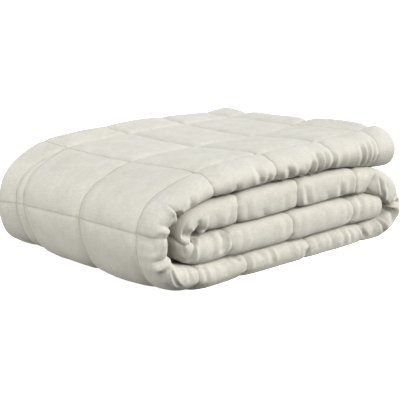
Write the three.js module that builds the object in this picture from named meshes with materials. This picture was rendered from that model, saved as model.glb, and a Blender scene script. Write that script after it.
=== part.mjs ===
// A quilted bedspread, folded for the shelf.
// The cloth is one filled strip. It is folded in four across its width, so that one fold lies at
// the front and the hems lie at the back, and the folded strip is then turned over itself into
// four flat passes: top, bottom, second and third, from the outside in.
// X runs along the passes, Y from the front fold to the back hems, Z up. Millimetres.
import * as THREE from "three";

// Driving dimensions
const FRONT = -190; // the front fold's furthest reach
const BACK = 190; // the hems at the back
const BEND_Y = -149; // where the plies begin to turn into the front fold
const BACK_BEND_Y = 180; // where two plies turn into the fold that lies between the hems
const PLIES = 4; // layers of cloth in each pass
const PLY_SHARE = 0.43; // share of a ply's room that its cloth fills, to each side of its middle
const SQUARE = 130; // quilting pitch across the cloth
const BORDER = 43; // hem to the first line of quilting
const FIRST_COLUMN = 158; // the column beside the border is wider than the others
const SEAM_DRAW = 0.5; // share of the thickness that a line of quilting takes away
const SEAM_SPREAD = 9; // how fast the cloth swells again beside a line of quilting
const SEAM_SIDE = 13; // the rows of points on both sides of a line of quilting
const ROW_SAG = 0.7; // how far a straight run of cloth between two rows may cut a curve short
const ROW_ROOM = 85; // widest room between two rows, so that each square has a crown
const HEM_SHARE = 0.6; // share of the thickness that is left at a hem
const HEM_SPREAD = 18; // how far in from a hem the cloth is full again
const FLOOR_BAND = 3.2; // cloth lower than this is pressed flat on the surface
const CORNER = 12; // radius of the rounded corner where the front fold meets an end hem

// The middle line of the folded strip, seen from the front: control points of a smooth curve from
// the outer end of the top pass to the inner end of the third pass, with half the pass's thickness
// and how free its outer face is to round off into the front fold, from pressed flat to open.
const ROLL = [
  { pass: "top", x: 256, z: 142.5, half: 25.5, open: 1 },
  { pass: "top", x: 222, z: 143.5, half: 25.5, open: 1 },
  { pass: "top", x: 160, z: 146.5, half: 20.5, open: 1 },
  { pass: "top", x: 60, z: 147.4, half: 19, open: 1 },
  { pass: "top", x: -40, z: 147.4, half: 19, open: 1 },
  { pass: "top", x: -120, z: 145, half: 18, open: 1 },
  { pass: "left turn", x: -184, z: 135.5, half: 14, open: 1 },
  { pass: "left turn", x: -226, z: 117, half: 12.4, open: 1 },
  { pass: "left turn", x: -235, z: 84, half: 12, open: 1 },
  { pass: "left turn", x: -232.5, z: 50, half: 12, open: 1 },
  { pass: "left turn", x: -220, z: 17, half: 12.4, open: 0.9 },
  { pass: "left turn", x: -177, z: 14, half: 15.8, open: 0.5 },
  { pass: "bottom", x: -110, z: 17.5, half: 18.2, open: 0.1 },
  { pass: "bottom", x: 0, z: 17.5, half: 18.2, open: 0 },
  { pass: "bottom", x: 100, z: 16.5, half: 17.2, open: 0 },
  { pass: "bottom", x: 185, z: 14.5, half: 15, open: 0 },
  { pass: "right turn", x: 254, z: 13.5, half: 14.2, open: 0.5 },
  { pass: "right turn", x: 272, z: 51, half: 14, open: 1 },
  { pass: "right turn", x: 244, z: 91, half: 16, open: 0.7 },
  { pass: "second", x: 180, z: 101, half: 20, open: 0.2 },
  { pass: "second", x: 80, z: 105.2, half: 22, open: 0 },
  { pass: "second", x: -30, z: 105.6, half: 22.2, open: 0 },
  { pass: "second", x: -115, z: 105.6, half: 21.2, open: 0 },
  { pass: "inner turn", x: -172, z: 106.2, half: 16.5, open: 0.3 },
  { pass: "inner turn", x: -190, z: 100.5, half: 14.5, open: 0.6 },
  { pass: "inner turn", x: -197.5, z: 83, half: 13.5, open: 0.6 },
  { pass: "inner turn", x: -190, z: 65.5, half: 14.5, open: 0.6 },
  { pass: "inner turn", x: -172, z: 59.5, half: 17, open: 0.3 },
  { pass: "third", x: -115, z: 59.6, half: 23, open: 0 },
  { pass: "third", x: -30, z: 59.2, half: 23.8, open: 0 },
  { pass: "third", x: 80, z: 58, half: 24.2, open: 0 },
  { pass: "third", x: 160, z: 56, half: 23.6, open: 0 },
  { pass: "third", x: 205, z: 53, half: 21.5, open: 0.2 },
  { pass: "third", x: 230, z: 50.5, half: 20, open: 0.4 },
];

// Lines of quilting across the roll, as pitches along its middle line from the outer end.
const CROSS_PITCHES = [
  { pass: "top", pitches: [34, 111, 123, 124] },
  { pass: "left turn", pitches: [120, 102] },
  { pass: "bottom", pitches: [105, 126, 129] },
  { pass: "right turn", pitches: [107, 130] },
  { pass: "second", pitches: [121, 124] },
  { pass: "inner turn", pitches: [108, 101] },
  { pass: "third", pitches: [133, 130, 54] },
];

// The plies of one pass in the order of the cloth, from the outer hem to the inner hem. Level is
// a share of half the pass's thickness, and reach is how far the bend after the ply swings out.
const STRIP = [
  { level: 0.75, from: BACK, to: BEND_Y, reach: -36.5 },
  { level: -0.75, from: BEND_Y, to: BACK_BEND_Y, reach: 5.5 },
  { level: -0.25, from: BACK_BEND_Y, to: BEND_Y, reach: -26 },
  { level: 0.25, from: BEND_Y, to: BACK, reach: 0 },
];
const PLY_LEVEL = (2 / PLIES) * PLY_SHARE;
const PLY_HALF = 4; // half a ply's thickness where it turns through the folds
const USUAL_HALF = 19; // half the thickness of most passes, for the length of the bends

// How the settled pile departs from a straight roll: the cloth stands highest over the front fold,
// and the left turn draws in towards the back.
const HEIGHT_BY_DEPTH = [
  { y: -142, share: 1 },
  { y: -12, share: 0.966 },
  { y: 190, share: 0.958 },
];
const LEFT_DRAW = { amount: 17, none: -130, full: -200, floorShare: 0.25, fullHeight: 60 };

// The power of the sine that rounds a fold: low where the cloth is pressed, high where it is open.
const FOLD_ROUND = { pressed: 0.52, open: 1.02 };

// The lines of quilting lean along the roll as they go over the front fold, but not at the ends.
const FOLD_LEAN = { amount: 8, endRoom: 60 };

// Each end is rounded off over a short length, down to the thickness of its hems.
const END_ROUND = { length: 9, hemShare: 0.86 };

const { clamp, lerp, smoothstep } = THREE.MathUtils;

// Value of each numeric column of a table at t, by a uniform cubic B-spline that starts and ends on
// the first and last row.
function splineRow(rows, t) {
  const last = rows.length - 1;
  const i = clamp(Math.floor(t), 0, last - 1);
  const u = t - i;
  const weights = [
    (1 - u) ** 3 / 6,
    (3 * u ** 3 - 6 * u ** 2 + 4) / 6,
    (-3 * u ** 3 + 3 * u ** 2 + 3 * u + 1) / 6,
    u ** 3 / 6,
  ];
  const value = (k, column) => {
    if (k < 0) return 2 * rows[0][column] - rows[1][column];
    if (k > last) return 2 * rows[last][column] - rows[last - 1][column];
    return rows[k][column];
  };
  const mix = (column) => weights.reduce((sum, w, k) => sum + w * value(i - 1 + k, column), 0);
  return { x: mix("x"), z: mix("z"), half: mix("half"), open: mix("open") };
}

// The roll's middle line as close samples with their distance from the outer end.
function measureRoll() {
  const perRow = 60;
  const count = (ROLL.length - 1) * perRow;
  const samples = [];
  let run = 0;
  for (let k = 0; k <= count; k++) {
    const p = splineRow(ROLL, k / perRow);
    if (k > 0) run += Math.hypot(p.x - samples[k - 1].x, p.z - samples[k - 1].z);
    samples.push({ ...p, run });
  }
  return samples;
}

const rollSamples = measureRoll();
const ROLL_LENGTH = rollSamples.at(-1).run;

// The point of the roll's middle line at a distance from its outer end, with the direction that
// faces out of the roll and the other columns of the table there.
function rollPoint(distance) {
  let k = rollSamples.findIndex((p) => p.run >= distance);
  k = clamp(k < 0 ? rollSamples.length - 1 : k, 1, rollSamples.length - 1);
  const a = rollSamples[k - 1];
  const b = rollSamples[k];
  const u = clamp((distance - a.run) / (b.run - a.run), 0, 1);
  const step = b.run - a.run;
  return {
    x: lerp(a.x, b.x, u),
    z: lerp(a.z, b.z, u),
    half: lerp(a.half, b.half, u),
    open: lerp(a.open, b.open, u),
    outX: (b.z - a.z) / step,
    outZ: -(b.x - a.x) / step,
  };
}

// Where each ply and each bend begins, as a distance across the flat cloth from the outer hem.
const stripSpans = [];
let stripWidth = 0;
STRIP.forEach((ply, i) => {
  const length = Math.abs(ply.to - ply.from);
  stripSpans.push({ ply: i, bend: false, from: stripWidth, length });
  stripWidth += length;
  if (i === STRIP.length - 1) return;
  const rise = (Math.abs(STRIP[i + 1].level - ply.level) / 2) * USUAL_HALF;
  const bendLength = (Math.PI * (Math.abs(ply.reach) + rise)) / 2;
  stripSpans.push({ ply: i, bend: true, from: stripWidth, length: bendLength });
  stripWidth += bendLength;
});

// The ply or the bend at a distance across the cloth.
function spanAt(w) {
  return stripSpans.find((span) => w <= span.from + span.length) ?? stripSpans.at(-1);
}

// A point of the folded strip's section: w is the distance across the cloth from the outer hem,
// side is 1 on the face that shows and -1 on the other, plump is the share of thickness there, and
// open is how free the outer face is to round off into the fold.
function stripPoint(w, side, plump, open) {
  const span = spanAt(w);
  const ply = STRIP[span.ply];
  const outward = span.ply % 2 === 0 ? 1 : -1;
  const offset = outward * side * PLY_LEVEL * plump;
  const u = clamp((w - span.from) / span.length, 0, 1);
  if (!span.bend) return { y: lerp(ply.from, ply.to, u), level: ply.level + offset };
  const middle = (ply.level + STRIP[span.ply + 1].level) / 2;
  const outside = Math.sign((ply.level - middle) * outward) * side;
  const reach = ply.reach + Math.sign(ply.reach) * outside * PLY_HALF * plump;
  const level = middle + (ply.level + offset - middle) * Math.cos(Math.PI * u);
  const power = lerp(FOLD_ROUND.pressed, FOLD_ROUND.open, level > middle ? open : 0);
  return { y: ply.to + reach * Math.max(0, Math.sin(Math.PI * u)) ** power, level };
}

// Distances of the quilting lines, along the roll and across the cloth.
let seamRun = 0;
const crossSeams = CROSS_PITCHES.flatMap((row) => row.pitches.map((pitch) => (seamRun += pitch)));
const longSeams = [BORDER, BORDER + FIRST_COLUMN];
while (longSeams.at(-1) + SQUARE < stripWidth - BORDER) longSeams.push(longSeams.at(-1) + SQUARE);
longSeams.push(stripWidth - BORDER);

// Share of a ply's thickness that the nearest hem and line of quilting leave at a place on the cloth.
function plumpAt(run, w) {
  const nearest = (seams, at) => Math.min(...seams.map((seam) => Math.abs(seam - at)));
  const gap = Math.min(nearest(crossSeams, run), nearest(longSeams, w));
  const fromHem = Math.min(w, stripWidth - w, run, ROLL_LENGTH - run);
  const hem = lerp(HEM_SHARE, 1, smoothstep(fromHem, 0, HEM_SPREAD));
  return hem * (1 - SEAM_DRAW * Math.exp(-gap / SEAM_SPREAD));
}

// Height share of the settled pile at a depth.
function heightShare(y) {
  const [front, middle, back] = HEIGHT_BY_DEPTH;
  const [a, b] = y < middle.y ? [front, middle] : [middle, back];
  return lerp(a.share, b.share, smoothstep(y, a.y, b.y));
}

// The front fold draws back in a quarter circle beside each end hem.
function cornerPull(run) {
  const toEnd = Math.min(run, ROLL_LENGTH - run);
  if (toEnd >= CORNER) return 0;
  const across = CORNER - toEnd;
  return CORNER - Math.sqrt(CORNER ** 2 - across ** 2);
}

// Share of a pass's thickness that is left near its rounded ends.
function endShare(run) {
  const t = clamp(Math.min(run, ROLL_LENGTH - run) / END_ROUND.length, 0, 1);
  return lerp(END_ROUND.hemShare, 1, Math.sqrt(1 - (1 - t) ** 2));
}

// How far the face that shows has slipped along the roll where it goes over the front fold.
function foldLean(run, w, side) {
  const span = spanAt(w);
  if (side < 0 || span !== stripSpans[1]) return 0;
  const fromEnds = smoothstep(Math.min(run, ROLL_LENGTH - run), 0, FOLD_LEAN.endRoom);
  return FOLD_LEAN.amount * Math.sin((Math.PI * (w - span.from)) / span.length) * fromEnds;
}

// A point of the cloth in space, from its place along the roll, across the cloth and on a face.
function clothPoint(run, w, side) {
  const roll = rollPoint(run + foldLean(run, w, side));
  const { y, level } = stripPoint(w, side, plumpAt(run, w), roll.open);
  const depth = (BACK - y) / (BACK - FRONT);
  const lift = level * roll.half * endShare(run);
  const raised = (roll.z + roll.outZ * lift) * heightShare(y);
  const z = Math.max(raised, 0);
  const leftward = 1 - smoothstep(roll.x, LEFT_DRAW.full, LEFT_DRAW.none);
  const heightward = lerp(LEFT_DRAW.floorShare, 1, smoothstep(z, 0, LEFT_DRAW.fullHeight));
  const drawn = LEFT_DRAW.amount * leftward * heightward * (1 - depth);
  const x = roll.x + roll.outX * lift + drawn;
  return new THREE.Vector3(x, y + cornerPull(run) * depth, z < FLOOR_BAND ? 0 : z);
}

// Rows of points beside and between the lines of quilting, closer together round the turns.
function rowsAlong(seams, end, widest) {
  const marks = [0, ...seams.flatMap((seam) => [seam - SEAM_SIDE, seam, seam + SEAM_SIDE]), end];
  const inside = marks.filter((m, i) => m >= 0 && m <= end && (i === 0 || m > marks[i - 1] + 1));
  const rows = [];
  inside.forEach((mark, i) => {
    rows.push(mark);
    if (i === inside.length - 1) return;
    const room = inside[i + 1] - mark;
    const parts = Math.ceil(room / widest((mark + inside[i + 1]) / 2) - 1e-6);
    for (let k = 1; k < parts; k++) rows.push(mark + (room * k) / parts);
  });
  return rows;
}

// How far the middle line turns per millimetre at a distance along the roll, in radians.
function rollCurvature(run) {
  const step = 6;
  const a = rollPoint(run - step);
  const b = rollPoint(run + step);
  return Math.max(Math.abs(a.outX * b.outZ - a.outZ * b.outX) / (2 * step), 1e-5);
}

// Places across the cloth for each face. The face that shows has rows beside every line of
// quilting on its outer ply and close rows round the front fold. The hidden plies have a few.
function rowsAcross() {
  const [first, frontBend, second, backBend, third, innerBend, fourth] = stripSpans;
  const bendRows = (span, parts) =>
    Array.from({ length: parts + 1 }, (_, k) => span.from + (span.length * k) / parts);
  const plainRows = (span, parts) =>
    Array.from({ length: parts - 1 }, (_, k) => span.from + (span.length * (k + 1)) / parts);
  const outerSeams = longSeams.filter((seam) => seam < first.length);
  const outerRows = rowsAlong(outerSeams, first.length - 0.5, () => 75);
  return {
    shown: [
      ...outerRows.slice(0, -1),
      ...bendRows(frontBend, 8),
      ...plainRows(second, 5),
      ...bendRows(backBend, 3),
      ...plainRows(third, 4),
      ...bendRows(innerBend, 2),
      ...plainRows(fourth, 4),
      stripWidth,
    ],
    hidden: [
      0,
      ...plainRows(first, 4),
      ...bendRows(frontBend, 4),
      ...plainRows(second, 4),
      ...bendRows(backBend, 2),
      ...plainRows(third, 4),
      ...bendRows(innerBend, 4),
      ...plainRows(fourth, 4),
      stripWidth,
    ],
  };
}

// The closed surface: a loop round the strip's section at each row along the roll, joined row to
// row, with each end closed between the two faces of the cloth.
function clothGeometry() {
  const roomAt = (run) => Math.min(ROW_ROOM, Math.sqrt((8 * ROW_SAG) / rollCurvature(run)));
  const runs = rowsAlong(crossSeams, ROLL_LENGTH, roomAt);
  const { shown, hidden } = rowsAcross();
  const loop = [
    ...shown.map((w) => ({ w, side: 1 })),
    ...hidden.map((w) => ({ w, side: -1 })).reverse(),
  ];
  const points = runs.flatMap((run) => loop.map(({ w, side }) => clothPoint(run, w, side)));
  const around = loop.length;
  const triangles = [];
  for (let row = 0; row + 1 < runs.length; row++) {
    for (let k = 0; k < around; k++) {
      const a = row * around + k;
      const b = row * around + ((k + 1) % around);
      triangles.push(a, a + around, b, b, a + around, b + around);
    }
  }
  closeEnd(triangles, shown, hidden, 0, false);
  closeEnd(triangles, shown, hidden, (runs.length - 1) * around, true);
  const geometry = new THREE.BufferGeometry().setFromPoints(points).setIndex(triangles);
  geometry.computeVertexNormals();
  return geometry;
}

// An end hem: a band of triangles between the shown and the hidden face, taking the next point of
// whichever face lags behind across the cloth.
function closeEnd(triangles, shown, hidden, first, flipped) {
  const around = shown.length + hidden.length;
  let i = 0;
  let j = 0;
  while (i < shown.length - 1 || j < hidden.length - 1) {
    const top = first + i;
    const low = first + around - 1 - j;
    const takeShown = j === hidden.length - 1 || (i < shown.length - 1 && shown[i + 1] <= hidden[j + 1]);
    const next = takeShown ? top + 1 : low - 1;
    triangles.push(...(flipped ? [top, low, next] : [top, next, low]));
    if (takeShown) i++;
    else j++;
  }
}

// Stands the pile on Z = 0 with the middle of its box over the origin.
function standOnOrigin(geometry) {
  geometry.computeBoundingBox();
  const { min, max } = geometry.boundingBox;
  return geometry.translate(-(min.x + max.x) / 2, -(min.y + max.y) / 2, -min.z);
}

const linen = new THREE.MeshStandardMaterial({ color: 0xdad6ca, roughness: 0.92, metalness: 0 });
const cloth = new THREE.Mesh(standOnOrigin(clothGeometry()), linen);
cloth.name = "bedspread";

const bedspread = new THREE.Group();
bedspread.add(cloth);

export default bedspread;
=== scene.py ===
"""A quilted linen bedspread, folded in four and rolled over itself, on a pale studio floor."""

import math

import bpy
import numpy as np
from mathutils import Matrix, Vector


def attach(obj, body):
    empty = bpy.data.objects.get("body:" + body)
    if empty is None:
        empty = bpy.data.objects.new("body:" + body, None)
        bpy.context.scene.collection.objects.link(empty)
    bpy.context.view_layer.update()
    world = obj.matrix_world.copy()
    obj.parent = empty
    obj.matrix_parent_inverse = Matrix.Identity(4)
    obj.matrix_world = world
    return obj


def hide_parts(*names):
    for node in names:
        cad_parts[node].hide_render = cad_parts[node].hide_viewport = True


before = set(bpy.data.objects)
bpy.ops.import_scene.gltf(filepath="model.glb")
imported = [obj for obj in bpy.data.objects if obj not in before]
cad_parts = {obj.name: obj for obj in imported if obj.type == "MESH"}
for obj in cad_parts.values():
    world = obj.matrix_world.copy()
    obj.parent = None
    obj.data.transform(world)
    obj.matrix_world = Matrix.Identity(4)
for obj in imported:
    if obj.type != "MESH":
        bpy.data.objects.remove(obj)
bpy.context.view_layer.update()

# Camera: where it aims and how it stands, in metres and degrees, fitted to the quilting lines.
AIM = Vector((-0.0444, -0.0404, 0.0787))
CAMERA_DISTANCE = 1.7657
CAMERA_AZIMUTH = -43.8
CAMERA_ELEVATION = 14.6
SENSOR_WIDTH = 36.0  # in millimetres
FOCAL_SHARE = 2.9233  # focal length as a share of the sensor's width

# Light: where each broad lamp shines from, its strength, and its spread in degrees.
LEFT_LAMP = ((-0.95, 0.22, 0.17), 2.28, 30.0)
FRONT_LAMP = ((-0.06, -0.79, 0.6), 1.96, 20.0)
RIGHT_LAMP = ((0.83, -0.5, 0.25), 2.45, 30.0)
LAMP_COLOUR = (1.015, 1.0, 0.968)

# The studio around: colour and strength of its light from above and from below the horizon, and how
# far the two blend to either side of it, as the height of a direction of length one.
SKY = ((0.97, 1.01, 1.06, 1.0), 0.635)
BOUNCE = ((1.0, 0.9, 0.74, 1.0), 0.08)
HORIZON = 0.05

# Floor: half its side in metres, its colour, and the glow that keeps it white beside the pile.
FLOOR_HALF = 30.0
FLOOR_COLOUR = (0.97, 0.97, 0.97, 1.0)
FLOOR_GLOW = 0.85

# Linen: its darkest and lightest tint, its slubs and cloudy patches, and the painted shade along its
# stitching, in metres.
LINEN_DARK = (0.39, 0.369, 0.314, 1.0)
LINEN_LIGHT = (0.62, 0.607, 0.548, 1.0)
SLUB_LENGTH = 0.012
SLUB_BREADTH = 0.0011
CLOUD_SIZE = 0.03
SLUB_TINT = 0.35  # how much the slubs tint the cloth
CLOUD_TINT = 0.3  # and the cloudy patches
GROOVE_SHADE = -0.28  # and the painted shade along the stitching's grooves, which darkens the cloth most at the thread
GROOVE_SHADE_EDGE = (0.0003, 0.0018)  # the painted shade fades out between these distances from the thread
WEAVE_HEIGHT = 0.0004

# The folded cloth, in millimetres. X runs along the passes, and Y from the front fold to the hems. A
# run is a distance along the roll from its outer end, and w a distance across it from the outer hem.
MM = 0.001
CENTRE_X = 16.46  # the middle of the pile's box in the roll table's x
FRONT = -190.0  # the front of the pile, in y
BACK = 190.0  # the hems, in y
BEND_Y = -149.0  # where the plies begin to bend into the front fold
BACK_BEND_Y = 180.0  # where a ply begins to bend round at the back
PLY_SHARE = 0.43  # from a ply's middle to its face, as a share of the ply's room in the pass
USUAL_HALF = 19.0  # half a pass's usual thickness, for the length of the bends
ROLL_SAMPLES = 60  # samples from one row of the roll table to the next

# The roll's middle line seen from the front, as control points of a smooth curve from the outer end
# of the top pass to the inner end of the third pass. Columns: x, z, half the pass's thickness, how
# free the outer half of a fold is, from 0 where it is pressed to 1 where it is open, and how round a
# fold's inner half is, from 0 for square to 1 for an ellipse.
ROLL = np.array(
    [
        (256, 137.5, 30.5, 1.0, 0.64),  # top
        (222, 138.3, 30.5, 1.0, 0.64),
        (160, 145.8, 20.8, 1.0, 0.6),
        (60, 146.9, 18.6, 1.0, 0.6),
        (-40, 146.9, 18.6, 1.0, 0.6),
        (-120, 144.6, 17.8, 1.0, 0.6),
        (-184, 135.5, 14.0, 0.7, 0.64),  # left turn
        (-226, 117.0, 12.4, 0.25, 0.64),
        (-235, 84.0, 12.0, 0.09, 0.64),
        (-232, 51.5, 12.0, 0.09, 0.64),
        (-212.5, 22.5, 16.2, 0.4, 0.56),
        (-176, 18.2, 20.0, 0.6, 0.52),
        (-110, 18.0, 17.6, 0.35, 0.5),  # bottom
        (0, 17.5, 16.8, 0.12, 0.5),
        (100, 16.5, 15.7, 0.06, 0.5),
        (185, 14.5, 14.8, 0.08, 0.52),
        (254, 13.5, 14.2, 0.1, 0.24),  # right turn
        (272.5, 51.0, 15.0, 0.1, 0.14),
        (236, 88.0, 19.0, 0.1, 0.1),
        (180, 101.4, 20.4, 0.24, 0.34),  # second
        (80, 104.4, 20.2, 0.04, 0.17),
        (-30, 104.9, 20.4, 0.04, 0.17),
        (-115, 103.7, 20.3, 0.08, 0.22),
        (-174, 104.5, 18.2, 0.25, 0.5),  # inner turn
        (-190, 99.5, 13.6, 0.17, 0.46),
        (-196, 81.0, 12.0, 0.09, 0.44),
        (-190, 61.3, 14.0, 0.17, 0.46),
        (-174, 57.5, 18.6, 0.25, 0.5),
        (-115, 58.4, 21.2, 0.28, 0.36),  # third
        (-30, 58.8, 21.5, 0.08, 0.23),
        (80, 57.6, 21.7, 0.0, 0.23),
        (160, 55.6, 21.5, 0.06, 0.38),
        (205, 53.0, 21.5, 0.2, 0.64),
        (230, 50.5, 20.0, 0.4, 0.64),
    ]
)

# The plies of one pass, from the outer hem to the inner hem. Columns: level as a share of half the
# thickness, where the ply begins and ends in y, and how far the bend after it swings out.
STRIP = np.array(
    [
        (0.75, BACK, BEND_Y, -36.5),
        (-0.75, BEND_Y, BACK_BEND_Y, 5.5),
        (-0.25, BACK_BEND_Y, BEND_Y, -26.0),
        (0.25, BEND_Y, BACK, 0.0),
    ]
)

# The folds. A fold's outline is half an ellipse whose sine has a power: low is square, and 1 is round.
# The front fold also leans along the roll and stands back, each by a table of run and distance.
FOLD_PRESSED = 0.17  # the power of the outer half where it is pressed
FOLD_OPEN = 1.02  # and where it is open
FOLD_LEAN = np.array([(0, 8), (430, 8), (500, -3), (560, -3), (640, 8)])
FOLD_BACK = np.array([(590, 0), (660, 6), (960, 6), (1040, 0)])

# How far the cloth lies askew along the roll. Columns: w, on the top pass, and on the left turn and
# beyond it.
SKEW = np.array([(0, 12, 14), (60, 8, 8), (200, -3, 1), (315, -8, 0), (350, 0, 0)])
SKEW_CHANGE = (400.0, 500.0)  # the run over which the one becomes the other
END_CALM = 60.0  # lean and skew fade out over this distance at both ends of the roll

# How far the cloth has slid towards the front at the foot of the left turn, by w, and on which run
# the slide begins, is full, starts to fade and is gone.
SLIDE = np.array([(0, 0), (60, 24), (200, 12), (339, 0)])
SLIDE_RUN = (490.0, 580.0, 640.0, 720.0)

# The settled pile.
HEIGHT_BY_DEPTH = np.array([(-142, 1.0), (-12, 0.966), (190, 0.958)])  # share of the height, by y
LEFT_END = (-200.0, -130.0)  # the left turn lies before the first x, and fades out by the second
LEFT_DRAW = 15.0  # how far the left turn is drawn in at the back
LEFT_DRAW_HEIGHT = (-40.0, 130.0)  # from nothing at the first height to all at the second
FOOT = 6.0  # how far the left turn's foot spreads
FOOT_HEIGHT = 45.0  # up to this height
FOOT_DEPTH = (-0.15, 0.45, 0.7, 1.0)  # where it begins, is full, fades and is gone, from back to front
CORNER = 12.0  # radius of the front fold's corner at each end of the roll
FLOOR_PRESS = 2.0  # cloth up to this height lies flat on the floor
FLOOR_FREE = 6.0  # and from this height on the floor doesn't press it

# Where the pile has sunk or stands proud, as soft bumps. Columns: run, y, spread along the roll,
# spread in y, and rise.
SETTLING = np.array(
    [
        (150, 40, 170, 105, -6.0),
        (405, 190, 75, 110, 4.5),
        (210, 190, 70, 80, 3.5),
        (40, 190, 70, 90, -5.0),
        (10, -60, 22, 120, 5.5),
        (590, -188, 45, 30, 5.5),
    ]
)

# Quilting: the pitches of the lines across the roll from its outer end, and the lines along it.
CROSS_PITCHES = [42, 103, 123, 124, 120, 104, 97, 132, 129, 107, 115, 131, 123, 114, 93, 126, 138]
BORDER = 60.0  # from a hem to the border's stitching
FIRST_COLUMN = 139.0  # width of the squares beside the outer border
SQUARE = 130.0  # width of the others
SHARP = 2.6  # depth of the groove at the thread
SHARP_REACH = 2.6  # over which it dies away
SOFT = 5.0  # depth of the hollow around the groove
SOFT_REACH = 14.0  # over which that dies away
CROWN = 2.4  # how far the filling lifts a square's face
GROOVE_LIMIT = 0.3  # how far a groove may go past the ply's middle, as a share of half the ply
HEM_ROUND = 9.0  # hems and ends round off over this distance
HEM_THIN = 0.5  # a ply's thickness at its hem, as a share
END_THIN = 0.86  # how far the plies of a pass close up at its end, as a share

# How the grooves differ from place to place. The runs are where a change begins, is full, starts to
# fade and is gone, and the edges are where across the cloth a change begins and is full.
TUCK = 20.0  # on the left turn a second row of the border's stitching stands off by this much
TUCK_RUN = (395.0, 500.0, 640.0, 720.0)
TURN_RUN = (400.0, 480.0, 590.0, 660.0)  # where the cloth is drawn tight round the left turn
TURN_EDGE = (320.0, 345.0)
TURN_ACROSS = 0.3  # there the grooves across the roll have this share of their depth
TURN_ALONG = 1.7  # and the sharp part of the grooves along it, this share
FOLD_EDGE = (325.0, 350.0)
FOLD_GROOVE = 0.48  # from the front fold inwards every groove has this share
HEM_EDGE = (5.0, 35.0)
HEM_GROOVE = 0.4  # and at the outer hem, this share

# Puckers beside the stitching, and the broad unevenness of the filling.
CROSS_PUCKER_PITCH = 21.0  # beside the lines across the roll
LONG_PUCKER_PITCH = 23.0  # beside the lines along it
PUCKER_REACH = 11.0  # over which they die away
PLY_PUCKER = 0.45  # their height on a ply
FOLD_PUCKER = 0.6  # and on the front fold
PUCKER_CHANGE = (10.0, 20.0)  # the change begins this far before the fold, and ends this far on it
BROAD_PITCHES = (96.0, 84.0)
BROAD_SLANTS = (0.4, -0.3)
BROAD_HEIGHT = 0.45
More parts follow.
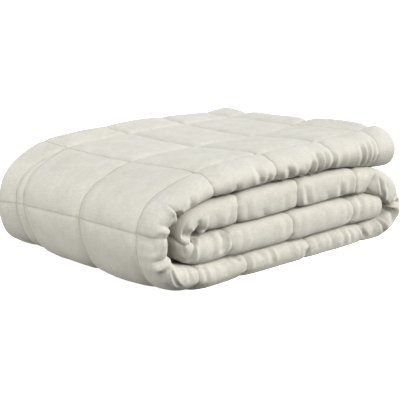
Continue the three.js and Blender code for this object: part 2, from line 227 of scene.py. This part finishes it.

# Creases placed as lines on the cloth. Columns: run and w at the line's two ends, half width, and depth;
# a ridge has a depth below zero.
CREASES = np.array(
    [
        # Left turn, where the front fold crowds round the bend.
        (469, 378, 470, 410, 5.0, 6.0),
        (475, 348, 476, 376, 3.5, -2.5),
        (504, 350, 505, 386, 3.5, -2.4),
        (551, 343, 552, 386, 5.0, -2.8),
        (512, 344, 533, 349, 12.0, 3.6),
        (560, 384, 590, 362, 2.3, 3.4),
        (556, 372, 575, 352, 5.0, -1.4),
        # Top pass.
        (436, 366, 440, 394, 5.0, 2.6),
        (352, 380, 345, 408, 5.0, 1.8),
        (309, 362, 299, 396, 5.0, 3.2),
        (288, 378, 283, 404, 4.0, 2.2),
        (247, 372, 234, 404, 5.0, 3.8),
        (225, 386, 216, 408, 4.5, 2.0),
        (191, 374, 198, 408, 4.5, 4.0),
        (185, 370, 189, 404, 4.0, -2.0),
        (178, 360, 181, 402, 4.0, 5.0),
        (170, 366, 174, 402, 4.0, -2.0),
        (162, 362, 167, 398, 4.0, 4.2),
        (139, 364, 136, 404, 3.5, -1.4),
        (128, 366, 123, 404, 5.0, 1.0),
        (108, 384, 100, 410, 7.0, 0.7),
        (82, 362, 72, 406, 4.0, 3.0),
        (75, 362, 66, 404, 4.0, -1.6),
        (67, 364, 64, 404, 3.5, 3.0),
        (52, 356, 52, 402, 3.0, 2.6),
        # Bottom pass.
        (598, 402, 600, 374, 2.6, 1.8),
        (628, 402, 629, 372, 2.8, 2.0),
        (616, 402, 617, 366, 9.0, -2.6),
        (645, 398, 648, 370, 5.0, 0.9),
        (668, 400, 672, 370, 7.0, 0.9),
        (694, 408, 701, 392, 5.0, 3.6),
        (721, 402, 723, 366, 4.0, -1.3),
        (739, 402, 744, 384, 5.0, 1.4),
        (759, 400, 763, 368, 4.0, 1.3),
        (768, 400, 772, 368, 3.5, -1.4),
        (800, 402, 804, 368, 6.0, 0.9),
        (822, 400, 826, 366, 4.0, 0.9),
        (838, 378, 843, 356, 4.0, 2.4),
        (862, 404, 866, 368, 4.0, 1.0),
        (894, 402, 898, 362, 3.5, 1.3),
        (908, 398, 912, 364, 4.0, -1.1),
        (922, 400, 927, 360, 3.5, 1.5),
        (938, 398, 944, 362, 3.0, 1.4),
        (965, 398, 979, 362, 3.0, 3.2),
        (992, 402, 994, 364, 5.0, 1.4),
        # Right turn.
        (1009, 408, 1019, 360, 2.8, 3.4),
        (1030, 412, 1021, 364, 6.0, -2.2),
        (1058, 416, 1037, 366, 6.0, 4.8),
        (1067, 408, 1055, 364, 4.0, -2.0),
        (1078, 418, 1067, 364, 2.6, 5.5),
        (1119, 384, 1099, 412, 5.0, -2.4),
        (1140, 370, 1120, 402, 2.6, 2.2),
        (1129, 368, 1110, 400, 2.8, -1.6),
        (1172, 366, 1190, 406, 9.0, -1.5),
        # Second pass.
        (1196, 358, 1196, 410, 10.0, -3.6),
        (1231, 374, 1226, 406, 5.0, 2.6),
        (1262, 384, 1256, 408, 6.0, 1.2),
        (1311, 366, 1304, 404, 5.0, 2.0),
        (1319, 366, 1315, 402, 3.5, -1.2),
        (1352, 372, 1356, 402, 5.0, 1.2),
        (1402, 386, 1396, 408, 6.0, 1.3),
        (1434, 366, 1430, 404, 5.0, 1.0),
        (1463, 362, 1469, 402, 5.0, 0.9),
        (1494, 372, 1490, 404, 6.0, 1.0),
        # Inner turn.
        (1513, 372, 1514, 398, 3.5, -2.4),
        (1508, 413, 1536, 414, 4.0, 9.0),
        (1542, 362, 1541, 398, 5.0, -1.6),
        (1568, 364, 1571, 396, 7.0, -3.0),
        (1600, 412, 1580, 390, 2.8, 3.6),
        (1580, 396, 1586, 354, 2.8, 5.0),
        # Third pass.
        (1623, 400, 1618, 362, 7.0, 1.1),
        (1648, 410, 1636, 368, 5.5, 4.2),
        (1658, 404, 1646, 366, 4.5, -1.6),
        (1676, 362, 1680, 404, 5.0, 0.9),
        (1738, 362, 1742, 396, 7.0, 0.7),
        (1769, 364, 1765, 404, 5.0, 0.9),
        (1798, 360, 1802, 402, 5.0, 0.8),
        (1856, 362, 1852, 398, 7.0, 0.7),
        (1906, 362, 1904, 404, 5.0, 1.0),
        (1936, 364, 1940, 406, 4.0, 1.5),
        (1960, 366, 1964, 402, 5.0, 1.0),
    ]
)
TROUGH_BANK = 0.45  # height of a trough's banks as a share of its depth
TROUGH_BANK_AT = 2.2  # and how far off they stand, in half widths
LINE_END = 1.25  # a line's depth is gone where the squared share of its half length comes to this

# Pleats, each where one side of a line lies over the other. Columns as for the creases; the low side lies
# to the right of the line, and comes back over the half width.
PLEATS = np.array(
    [
        (469.5, 344, 471, 404, 9.0, 6.5),  # left turn
        (497, 352, 497, 404, 7.0, 4.0),
        (543, 343, 544, 404, 7.0, 5.5),
        (1150, 364, 1174, 412, 7.0, 7.0),  # end of the second pass
        (1163, 394, 1175, 416, 8.0, 5.0),
        (1526, 414, 1523, 374, 5.0, 5.0),  # inner turn
        (1527, 418, 1525, 396, 6.0, 8.0),
        (1555, 360, 1554, 392, 7.0, 10.0),
    ]
)
PLEAT_EDGE = 1.8  # a pleat drops over this distance
PLEAT_BANK = 0.25  # height of the bank on its high side as a share of its depth
PLEAT_BANK_AT = 5.0  # how far off the bank stands
PLEAT_BANK_WIDTH = 4.0

# The hidden face of a ply: its distance from the middle, and how far it gives way under a crease, as
# shares of those of the shown face.
HIDDEN_SHARE = 0.9
HIDDEN_GIVE = 0.8

# Mesh: how close its rows and columns lie. The columns are numbers of steps for each ply and each
# bend in turn, and the shown face of the outer ply has columns by its stitching instead.
STITCH_STEPS = np.array([-7.0, -3.0, 0.0, 3.0, 7.0])  # beside each line of stitching
LEAST_STEP = 1.2
ROW_STEP = 7.0
FOLD_ROW_STEP = 2.0  # for rows on the front fold
FOLD_MARGIN = 12.0  # how far these closer rows go past the fold
COLUMN_STEP = 6.0
BORDER_STEPS = 24  # columns on the outer border
BORDER_MARGIN = 8.0  # how far these go past its stitching
SHOWN_STEPS = [1, 34, 12, 5, 4, 3, 5]
HIDDEN_STEPS = [5, 8, 4, 2, 3, 5, 3]

rng = np.random.default_rng(11)


def smoothstep(value, low, high):
    """A share that rises smoothly from 0 at low to 1 at high."""
    t = np.clip((value - low) / (high - low), 0.0, 1.0)
    return t * t * (3.0 - 2.0 * t)


def between(value, begins, full, fades, gone):
    """A share that rises smoothly from 0 to 1, stays, and falls smoothly back to 0."""
    return smoothstep(value, begins, full) * (1 - smoothstep(value, fades, gone))


def mix(a, b, share):
    """From a, where share is 0, to b, where it is 1."""
    return a + (b - a) * share


def by_table(table, at):
    """The second column of a table, in straight lines between the places in its first column."""
    return np.interp(at, table[:, 0], table[:, 1])


def rounded(distance):
    """Height of a quarter circle: 0 at an edge, and 1 where its rounding ends."""
    return np.sqrt(1 - (1 - np.clip(distance / HEM_ROUND, 0, 1)) ** 2)


def measure_roll():
    """The roll's middle line as close samples: distance from the outer end, and the table's columns.
    Each sample is a uniform cubic B-spline blend of four table rows, with one row carried on in a
    straight line past each end."""
    first = 2 * ROLL[0] - ROLL[1]
    last = 2 * ROLL[-1] - ROLL[-2]
    rows = np.vstack([first, ROLL, last])
    t = np.linspace(0, len(ROLL) - 1, (len(ROLL) - 1) * ROLL_SAMPLES + 1)
    i = np.minimum(t.astype(int), len(ROLL) - 2)
    u = (t - i)[:, None]
    weights = [
        (1 - u) ** 3 / 6,
        (3 * u**3 - 6 * u**2 + 4) / 6,
        (-3 * u**3 + 3 * u**2 + 3 * u + 1) / 6,
        u**3 / 6,
    ]
    line = sum(weight * rows[i + k] for k, weight in enumerate(weights))
    steps = np.hypot(np.diff(line[:, 0]), np.diff(line[:, 1]))
    return np.concatenate([[0.0], np.cumsum(steps)]), line


roll_run, roll_line = measure_roll()
ROLL_LENGTH = roll_run[-1]
roll_out_x = np.gradient(roll_line[:, 1], roll_run)
roll_out_z = -np.gradient(roll_line[:, 0], roll_run)


def strip_spans():
    """Where each ply and each bend begins across the flat cloth, and its length. A bend's length is
    about that of half an ellipse: pi times the mean of its two half axes."""
    lengths = []
    for k, (level, start, end, reach) in enumerate(STRIP):
        lengths.append(abs(end - start))
        if k + 1 < len(STRIP):
            rise = abs(STRIP[k + 1, 0] - level) / 2 * USUAL_HALF
            lengths.append(math.pi * (abs(reach) + rise) / 2)
    lengths = np.array(lengths)
    return np.concatenate([[0.0], np.cumsum(lengths)[:-1]]), lengths


span_from, span_length = strip_spans()
STRIP_WIDTH = span_from[-1] + span_length[-1]
cross_seams = np.cumsum(CROSS_PITCHES).astype(float)
square_lines = np.arange(BORDER + FIRST_COLUMN, STRIP_WIDTH - BORDER - SQUARE / 3, SQUARE)
long_seams = np.concatenate([[BORDER], square_lines, [STRIP_WIDTH - BORDER]])


def strip_point(w, side, lift, half, open_fold, inner_round):
    """Depth y and level of the folded strip's section. A ply lies at its level, moved by lift; a
    bend swings from one ply to the next on half a superellipse, whose sine has a power that is low
    where the cloth is pressed and high where it is open. lift is in millimetres out of the cloth."""
    span = np.clip(np.searchsorted(span_from, w, side="right") - 1, 0, len(span_from) - 1)
    ply = span // 2
    bend = (span % 2 == 1)[None, :]
    level, start, end, reach = STRIP[ply].T
    u = np.clip((w - span_from[span]) / span_length[span], 0.0, 1.0)[None, :]
    outward = np.where(ply % 2 == 0, 1.0, -1.0)
    offset = (outward * side)[None, :] * lift / half
    flat_y = (start + (end - start) * u[0])[None, :]
    flat_level = level[None, :] + offset
    middle = (level + STRIP[np.minimum(ply + 1, len(STRIP) - 1), 0]) / 2
    outside = np.sign((level - middle) * outward) * side
    swing = reach[None, :] + (np.sign(reach) * outside)[None, :] * lift
    bend_level = middle[None, :] + (flat_level - middle[None, :]) * np.cos(math.pi * u)
    above = bend_level > middle[None, :]
    power = np.where(above, mix(FOLD_PRESSED, FOLD_OPEN, open_fold), inner_round)
    bend_y = end[None, :] + swing * np.maximum(np.sin(math.pi * u), 0.0) ** power
    return np.where(bend, bend_y, flat_y), np.where(bend, bend_level, flat_level)


def shift_along(run, w, side, from_end):
    """How far along the roll the cloth lies from its own row. The shown face of the front fold leans
    by a sine round the fold, and the whole cloth lies askew; both fade out at the roll's ends."""
    on_fold = np.clip((w - span_from[1]) / span_length[1], 0.0, 1.0)
    lean = np.where(side > 0, np.sin(math.pi * on_fold), 0.0)[None, :] * by_table(FOLD_LEAN, run)
    on_top, on_turn = (np.interp(w, SKEW[:, 0], column)[None, :] for column in SKEW[:, 1:].T)
    skew = mix(on_top, on_turn, smoothstep(run, *SKEW_CHANGE))
    return (lean + skew) * smoothstep(from_end, 0.0, END_CALM)


def cloth_points(run, w, side, lift):
    """Places in space, in millimetres, for rows at distances run along the roll and columns at w
    across the cloth: the roll's middle line plus level times half its thickness along its outward
    direction. The front fold then stands back and the cloth slides forward where their tables say,
    the height is scaled by depth and gets soft bell-shaped bumps, the left turn is drawn in at the
    back and spread at its foot, the fold's corners are rounded on a quarter circle, and what lies
    lowest is pressed flat on the floor."""
    run = run[:, None]
    from_end = np.minimum(run, ROLL_LENGTH - run)
    at = run + shift_along(run, w, side, from_end)
    x, z, half, open_fold, inner_round = (np.interp(at, roll_run, column) for column in roll_line.T)
    out_x = np.interp(at, roll_run, roll_out_x)
    out_z = np.interp(at, roll_run, roll_out_z)
    y, level = strip_point(w, side, lift, half, open_fold, inner_round)
    fold_share = np.clip((y - BEND_Y) / STRIP[0, 3], 0.0, 1.0)
    y = y + fold_share * by_table(FOLD_BACK, run)
    y = y - by_table(SLIDE, w)[None, :] * between(run, *SLIDE_RUN)
    depth = (BACK - y) / (BACK - FRONT)
    rise = level * half * mix(END_THIN, 1.0, rounded(from_end))
    settled = sum(
        bump * np.exp(-(((run - at_run) / along) ** 2) - ((y - at_y) / deep) ** 2)
        for at_run, at_y, along, deep, bump in SETTLING
    )
    z = np.maximum((z + out_z * rise) * by_table(HEIGHT_BY_DEPTH, y) + settled, 0.0)
    leftward = 1 - smoothstep(x, *LEFT_END)
    draw = LEFT_DRAW * smoothstep(z, *LEFT_DRAW_HEIGHT) * (1 - depth)
    foot = FOOT * (1 - smoothstep(z, 0.0, FOOT_HEIGHT)) * between(depth, *FOOT_DEPTH)
    x = x + out_x * rise + leftward * (draw - foot)
    into_corner = np.clip(CORNER - from_end, 0.0, CORNER)
    y = y + (CORNER - np.sqrt(CORNER**2 - into_corner**2)) * depth
    pressed = np.maximum(z - FLOOR_PRESS, 0.0) * (FLOOR_FREE / (FLOOR_FREE - FLOOR_PRESS))
    z = np.where(z < FLOOR_FREE, pressed, z)
    return np.stack([x - CENTRE_X, y, z], axis=-1)


def nearest(lines, at):
    """Distance from each place to the nearest of some lines."""
    return np.min(np.abs(at[:, None] - lines[None, :]), axis=1)


def steps_by_stitching(lines, start, end, room):
    """Places from start to end: close beside each line of stitching, and evenly spaced between, no
    further apart than room."""
    marks = np.concatenate([[start, end], (lines[:, None] + STITCH_STEPS[None, :]).ravel()])
    marks = np.unique(np.round(marks[(marks >= start) & (marks <= end)], 2))
    marks = marks[np.concatenate([[True], np.diff(marks) > LEAST_STEP])]
    parts = np.maximum(np.ceil(np.diff(marks) / room).astype(int), 1)
    spans = [np.linspace(a, b, n, endpoint=False) for a, b, n in zip(marks, marks[1:], parts)]
    return np.concatenate(spans + [[end]])


def steps_by_span(counts):
    """Places across the cloth, with a number of even steps for each ply and each bend."""
    ends = np.append(span_from, STRIP_WIDTH)
    spans = [np.linspace(a, b, n, endpoint=False) for a, b, n in zip(ends, ends[1:], counts)]
    return np.concatenate(spans + [[STRIP_WIDTH]])


def cloth_columns():
    """Columns on the shown face, fine on the outer ply and the front fold, and on the hidden face."""
    border_end = BORDER + BORDER_MARGIN
    border = np.linspace(0.0, border_end, BORDER_STEPS, endpoint=False)
    outer = steps_by_stitching(long_seams[1:3], border_end, span_from[1], COLUMN_STEP)[:-1]
    shown = np.concatenate([border, outer, steps_by_span(SHOWN_STEPS)[1:]])
    return shown, steps_by_span(HIDDEN_STEPS)


def stitch_gaps(run, w):
    """Distance from each place to the nearest stitching across the roll, and along it. On the left
    turn the border has a second row that stands off from the first, which makes a narrow tuck."""
    across = nearest(cross_seams, run)[:, None]
    tuck = TUCK * between(run, *TUCK_RUN)
    second_row = np.abs(w[None, :] - (BORDER - tuck[:, None]))
    along = np.minimum(nearest(long_seams, w)[None, :], second_row)
    return across, along


def ripples(position, phases, pitch):
    """Uneven waves: three sines of unlike pitch, with a row of phases for each place."""
    pitches = np.array([1.0, 0.63, 1.71]) * pitch
    weights = np.array([0.5, 0.3, 0.4])
    turns = position[..., None] / pitches + phases
    return np.sum(weights * np.sin(2 * math.pi * turns), axis=-1)


cross_phases = rng.random((len(cross_seams), 3))
long_phases = rng.random((len(long_seams), 3))
broad_phases = rng.random((2, 3))


def puckers(run, w):
    """Short waves that stand square to the stitching and die out away from it, taller on the front
    fold, and a broad unevenness of the filling from two slanting sets of long waves."""
    across, along = stitch_gaps(run, w)
    beside_cross = np.argmin(np.abs(run[:, None] - cross_seams[None, :]), axis=1)
    beside_long = np.argmin(np.abs(w[:, None] - long_seams[None, :]), axis=1)
    grid_run, grid_w = np.broadcast_arrays(run[:, None], w[None, :])
    square_to_cross = ripples(grid_w, cross_phases[beside_cross][:, None, :], CROSS_PUCKER_PITCH)
    square_to_long = ripples(grid_run, long_phases[beside_long][None, :, :], LONG_PUCKER_PITCH)
    broad = ripples(grid_run + BROAD_SLANTS[0] * grid_w, broad_phases[0], BROAD_PITCHES[0])
    broad = broad + ripples(grid_w + BROAD_SLANTS[1] * grid_run, broad_phases[1], BROAD_PITCHES[1])
    fold = smoothstep(w, span_from[1] - PUCKER_CHANGE[0], span_from[1] + PUCKER_CHANGE[1])[None, :]
    near_cross = square_to_cross * np.exp(-across / PUCKER_REACH)
    near_long = square_to_long * np.exp(-along / PUCKER_REACH)
    return mix(PLY_PUCKER, FOLD_PUCKER, fold) * (near_cross + near_long) + BROAD_HEIGHT * broad


def beside_line(run, w, line):
    """Signed distance of each place from a line on the cloth, above zero on its right, and how much
    of the line's depth is left there, which fades towards the line's two ends."""
    run_a, w_a, run_b, w_b = line
    length = math.hypot(run_b - run_a, w_b - w_a)
    along_run = (run_b - run_a) / length
    along_w = (w_b - w_a) / length
    from_run = run[:, None] - (run_a + run_b) / 2
    from_w = w[None, :] - (w_a + w_b) / 2
    along = (from_run * along_run + from_w * along_w) / (length / 2)
    return from_w * along_run - from_run * along_w, smoothstep(LINE_END - along**2, 0.0, 1.0)


def creases(run, w):
    """Sum of the creases and pleats. A crease falls away from its line as a sharp trough with low
    banks, or as a round ridge. A pleat drops at once at its line, comes back slowly on its low side,
    and has a low bank on its high side."""
    total = np.zeros((len(run), len(w)))
    for *line, width, depth in CREASES:
        off, fade = beside_line(run, w, line)
        off = np.abs(off) / width
        trough = np.exp(-off) - TROUGH_BANK * np.exp(-((off - TROUGH_BANK_AT) ** 2))
        total -= depth * fade * (trough if depth > 0 else np.exp(-(off**2)))
    for *line, width, depth in PLEATS:
        off, fade = beside_line(run, w, line)
        step = np.exp(-np.where(off > 0, off / width, -off / PLEAT_EDGE))
        bank = PLEAT_BANK * np.exp(-(((off + PLEAT_BANK_AT) / PLEAT_BANK_WIDTH) ** 2))
        total -= depth * fade * (step - bank)
    return total


def grooves(run, w):
    """Depth of the quilting's grooves: a sharp and a soft part that each die away exponentially from
    the thread. Where two lines cross, the depth is the fourth root of the sum of their fourth powers,
    which is about the deeper of the two. The depth changes on the left turn, the front fold and the
    outer hem."""
    turn = between(run, *TURN_RUN)[:, None]
    before_fold = (1 - smoothstep(w, *TURN_EDGE))[None, :]
    shares = (mix(1.0, TURN_ACROSS, turn * before_fold), mix(1.0, TURN_ALONG, turn))
    across, along = (
        share * SHARP * np.exp(-gap / SHARP_REACH)
        + np.minimum(share, 1.0) * SOFT * np.exp(-gap / SOFT_REACH)
        for gap, share in zip(stitch_gaps(run, w), shares)
    )
    depth = (across**4 + along**4) ** 0.25
    depth = depth * mix(1.0, FOLD_GROOVE, smoothstep(w, *FOLD_EDGE))[None, :]
    return depth * mix(HEM_GROOVE, 1.0, smoothstep(w, *HEM_EDGE))[None, :]


def face_lift(run, w, side):
    """Millimetres from a ply's middle to its face: half the ply and the crown of its filling, less
    the grooves, plus the puckers and creases, and rounded off at the hems. The hidden face is plain,
    and only gives way under the creases."""
    half = np.interp(run, roll_run, roll_line[:, 2])[:, None]
    room = half / 2 * PLY_SHARE
    from_side = np.minimum(w, STRIP_WIDTH - w)[None, :]
    from_end = np.minimum(run, ROLL_LENGTH - run)[:, None]
    hem = mix(HEM_THIN, 1.0, rounded(np.minimum(from_side, from_end)))
    quilted = np.maximum(room + CROWN - grooves(run, w), -GROOVE_LIMIT * room)
    creased = creases(run, w)
    shown = (quilted + puckers(run, w)) * hem + creased
    hidden = room * HIDDEN_SHARE * hem - np.minimum(creased, 0.0) * HIDDEN_GIVE
    return np.where(side > 0, shown, hidden)


def end_band(shown, hidden, flipped):
    """Triangles that close an end between the two faces, as places round the loop, in the order in
    which the next column of either face comes up across the cloth."""
    around = len(shown) + len(hidden)
    order = np.argsort(np.concatenate([shown[1:], hidden[1:]]), kind="stable")
    is_shown = order < len(shown) - 1
    top = np.cumsum(is_shown) - is_shown
    low = around - 1 - (np.cumsum(~is_shown) - ~is_shown)
    following = np.where(is_shown, top + 1, low - 1)
    return np.stack([top, low, following] if flipped else [top, following, low], axis=1)


def grid_faces(rows, columns, first):
    """Four-cornered faces of a grid of points whose first point has the number first."""
    corner = first + np.arange(rows - 1)[:, None] * columns + np.arange(columns - 1)[None, :]
    return np.stack([corner, corner + columns, corner + columns + 1, corner + 1], axis=-1).reshape(-1, 4)


def joining_faces(plain, fine, owner, flipped):
    """Triangles between an edge of the plain grid and the finer edge beside it. owner says, for
    each step of the finer edge, beside which step of the plain edge it lies."""
    fans = np.stack([plain[owner], fine[:-1], fine[1:]], axis=1)
    ends = np.append(np.flatnonzero(np.diff(owner)) + 1, len(fine) - 1)
    gaps = np.stack([plain[:-1], fine[ends], plain[1:]], axis=1)
    faces = np.concatenate([fans, gaps])
    return faces[:, ::-1] if flipped else faces


def build_cloth():
    """The whole cloth as one closed mesh. A plain grid has a loop round the strip's section at each
    row along the roll, left open at the front fold on the shown face. A finer grid fills that
    opening, triangles join the two, and a band closes each end."""
    run = steps_by_stitching(cross_seams, 0.0, ROLL_LENGTH, ROW_STEP)
    steps = np.ceil(np.diff(run) / FOLD_ROW_STEP).astype(int)
    owner = np.repeat(np.arange(len(steps)), steps)
    part = np.arange(len(owner)) - np.repeat(np.cumsum(steps) - steps, steps)
    fine_run = np.append(run[owner] + np.diff(run)[owner] * part / steps[owner], ROLL_LENGTH)
    shown, hidden = cloth_columns()
    w = np.concatenate([shown, hidden[::-1]])
    side = np.concatenate([np.ones(len(shown)), -np.ones(len(hidden))])
    fold_first = int(np.searchsorted(shown, span_from[1] - FOLD_MARGIN))
    fold_last = int(np.searchsorted(shown, span_from[2] + FOLD_MARGIN))
    fold = np.arange(fold_first, fold_last + 1)
    rest = np.concatenate([np.arange(fold_last + 1, len(w)), np.arange(fold_first)])

    def grid(rows, columns):
        """Places, flat places on the cloth, and distances from the stitching, row after row."""
        points = cloth_points(rows, w[columns], side[columns], face_lift(rows, w[columns], side[columns]))
        flat = np.stack(np.broadcast_arrays(w[None, columns], rows[:, None]), axis=-1)
        gap = np.minimum(*stitch_gaps(rows, w[columns]))
        return points.reshape(-1, 3), flat.reshape(-1, 2), gap.ravel()

    parts = zip(grid(run, rest), grid(fine_run, fold))
    points, flat, gap = (np.concatenate(pair) * MM for pair in parts)
    fine_start = len(run) * len(rest)
    row_starts = np.arange(len(run)) * len(rest)
    fine_starts = fine_start + np.arange(len(fine_run)) * len(fold)
    faces = grid_faces(len(run), len(rest), 0).tolist()
    faces += grid_faces(len(fine_run), len(fold), fine_start).tolist()
    faces += joining_faces(row_starts + len(rest) - 1, fine_starts, owner, True).tolist()
    faces += joining_faces(row_starts, fine_starts + len(fold) - 1, owner, False).tolist()
    around = np.empty(len(w), dtype=int)
    for row_start, fine_row, flipped in ((0, fine_start, False), (row_starts[-1], fine_starts[-1], True)):
        around[rest] = row_start + np.arange(len(rest))
        around[fold] = fine_row + np.arange(len(fold))
        faces += around[end_band(shown, hidden, flipped)].tolist()
    mesh = bpy.data.meshes.new("bedspread_cloth")
    mesh.from_pydata(points.tolist(), [], faces)
    mesh.update()
    mesh.shade_smooth()
    corners = np.empty(len(mesh.loops), dtype=np.int32)
    mesh.loops.foreach_get("vertex_index", corners)
    layer = mesh.uv_layers.new(name="cloth")
    layer.uv.foreach_set("vector", flat[corners].astype(np.float32).ravel())
    stitching = mesh.attributes.new("stitch_gap", "FLOAT", "POINT")
    stitching.data.foreach_set("value", gap.astype(np.float32))
    piece = bpy.data.objects.new("bedspread_cloth", mesh)
    bpy.context.scene.collection.objects.link(piece)
    return piece


def linen_material():
    """Off-white linen: slubs along both threads tint and lift the surface, cloudy patches tint it, and
    painted shade darkens the cloth along the stitching's grooves."""
    material = bpy.data.materials.new("linen")
    material.use_nodes = True
    nodes = material.node_tree.nodes
    links = material.node_tree.links
    shader = nodes["Principled BSDF"]
    shader.inputs["Roughness"].default_value = 0.92
    shader.inputs["Specular IOR Level"].default_value = 0.18
    shader.inputs["Sheen Weight"].default_value = 0.12
    shader.inputs["Sheen Roughness"].default_value = 0.6
    uv = nodes.new("ShaderNodeUVMap")
    uv.uv_map = "cloth"

    def streaks(along, across, detail):
        """Noise stretched to a size along the roll and across it."""
        mapping = nodes.new("ShaderNodeMapping")
        mapping.inputs["Scale"].default_value = (1 / across, 1 / along, 1.0)
        noise = nodes.new("ShaderNodeTexNoise")
        noise.inputs["Scale"].default_value = 1.0
        noise.inputs["Detail"].default_value = detail
        links.new(uv.outputs["UV"], mapping.inputs["Vector"])
        links.new(mapping.outputs["Vector"], noise.inputs["Vector"])
        return noise.outputs["Fac"]

    def combine(operation, a, b):
        """Sum or product of two sockets, or of a socket and a number."""
        node = nodes.new("ShaderNodeMath")
        node.operation = operation
        for socket, value in zip(node.inputs, (a, b)):
            if isinstance(value, float):
                socket.default_value = value
            else:
                links.new(value, socket)
        return node.outputs["Value"]

    warp = streaks(SLUB_LENGTH, SLUB_BREADTH, 1.0)
    weft = streaks(SLUB_BREADTH, SLUB_LENGTH, 1.0)
    cloudy = streaks(CLOUD_SIZE, CLOUD_SIZE, 2.0)
    slubs = combine("ADD", warp, weft)
    stitching = nodes.new("ShaderNodeAttribute")
    stitching.attribute_name = "stitch_gap"
    # Painted shade: the colour darkens along the stitching's grooves, most at the thread, and fades out
    # with the distance in stitch_gap.
    groove_shade = nodes.new("ShaderNodeMapRange")
    groove_shade.inputs["From Min"].default_value = GROOVE_SHADE_EDGE[0]
    groove_shade.inputs["From Max"].default_value = GROOVE_SHADE_EDGE[1]
    groove_shade.inputs["To Min"].default_value = GROOVE_SHADE
    groove_shade.inputs["To Max"].default_value = 0.0
    links.new(stitching.outputs["Fac"], groove_shade.inputs["Value"])
    shade = combine("ADD", combine("MULTIPLY", slubs, SLUB_TINT), combine("MULTIPLY", cloudy, CLOUD_TINT))
    shade = combine("ADD", shade, groove_shade.outputs["Result"])
    tint = nodes.new("ShaderNodeValToRGB")
    tint.color_ramp.elements[0].position = 0.2
    tint.color_ramp.elements[0].color = LINEN_DARK
    tint.color_ramp.elements[1].position = 0.8
    tint.color_ramp.elements[1].color = LINEN_LIGHT
    links.new(shade, tint.inputs["Fac"])
    links.new(tint.outputs["Color"], shader.inputs["Base Color"])
    bump = nodes.new("ShaderNodeBump")
    bump.inputs["Strength"].default_value = 0.4
    bump.inputs["Distance"].default_value = WEAVE_HEIGHT
    links.new(slubs, bump.inputs["Height"])
    links.new(bump.outputs["Normal"], shader.inputs["Normal"])
    return material


def make_camera():
    """The camera on a sphere around its aim, at its azimuth and elevation."""
    azimuth = math.radians(CAMERA_AZIMUTH)
    elevation = math.radians(CAMERA_ELEVATION)
    level = math.cos(elevation)
    back = Vector((math.sin(azimuth) * level, -math.cos(azimuth) * level, math.sin(elevation)))
    data = bpy.data.cameras.new("camera")
    data.sensor_width = SENSOR_WIDTH
    data.lens = SENSOR_WIDTH * FOCAL_SHARE
    data.clip_end = 50.0
    camera = bpy.data.objects.new("camera", data)
    camera.location = AIM + back * CAMERA_DISTANCE
    camera.rotation_euler = (-back).to_track_quat("-Z", "Y").to_euler()
    bpy.context.scene.collection.objects.link(camera)
    bpy.context.scene.camera = camera


def make_floor():
    """A flat white square that glows a little. Diffuse light doesn't meet it, so it throws none up
    on the cloth."""
    size = FLOOR_HALF
    mesh = bpy.data.meshes.new("floor")
    corners = [(-size, -size, 0), (size, -size, 0), (size, size, 0), (-size, size, 0)]
    mesh.from_pydata(corners, [], [(0, 1, 2, 3)])
    floor = bpy.data.objects.new("floor", mesh)
    bpy.context.scene.collection.objects.link(floor)
    material = bpy.data.materials.new("floor")
    material.use_nodes = True
    shader = material.node_tree.nodes["Principled BSDF"]
    shader.inputs["Base Color"].default_value = FLOOR_COLOUR
    shader.inputs["Roughness"].default_value = 0.9
    shader.inputs["Emission Color"].default_value = (1.0, 1.0, 1.0, 1.0)
    shader.inputs["Emission Strength"].default_value = FLOOR_GLOW
    mesh.materials.append(material)
    floor.visible_diffuse = False


def broad_lamp(name, shines_from, strength, spread_angle):
    """A far lamp with a wide disc, which gives soft edges to the shade."""
    data = bpy.data.lights.new(name, "SUN")
    data.energy = strength
    data.color = LAMP_COLOUR
    data.angle = math.radians(spread_angle)
    lamp = bpy.data.objects.new(name, data)
    lamp.rotation_euler = (-Vector(shines_from)).to_track_quat("-Z", "Y").to_euler()
    bpy.context.scene.collection.objects.link(lamp)


def make_light():
    """Even white studio light: three broad lamps, and surroundings that are bright above the horizon
    and dim below it."""
    broad_lamp("left", *LEFT_LAMP)
    broad_lamp("front", *FRONT_LAMP)
    broad_lamp("right", *RIGHT_LAMP)
    world = bpy.data.worlds.new("studio")
    world.use_nodes = True
    nodes = world.node_tree.nodes
    links = world.node_tree.links
    direction = nodes.new("ShaderNodeTexCoord")
    parts = nodes.new("ShaderNodeSeparateXYZ")
    above = nodes.new("ShaderNodeMapRange")
    above.inputs["From Min"].default_value = -HORIZON
    above.inputs["From Max"].default_value = HORIZON
    blend = nodes.new("ShaderNodeMixShader")
    links.new(direction.outputs["Generated"], parts.inputs["Vector"])
    links.new(parts.outputs["Z"], above.inputs["Value"])
    links.new(above.outputs["Result"], blend.inputs[0])
    for place, (colour, strength) in enumerate((BOUNCE, SKY)):
        background = nodes.new("ShaderNodeBackground")
        background.inputs["Color"].default_value = colour
        background.inputs["Strength"].default_value = strength
        links.new(background.outputs["Background"], blend.inputs[1 + place])
    links.new(blend.outputs["Shader"], nodes["World Output"].inputs["Surface"])
    bpy.context.scene.world = world
    bpy.context.scene.view_settings.view_transform = "Standard"


make_camera()
bedspread = build_cloth()
bedspread.data.materials.append(linen_material())
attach(bedspread, "root")
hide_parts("bedspread")
make_floor()
make_light()
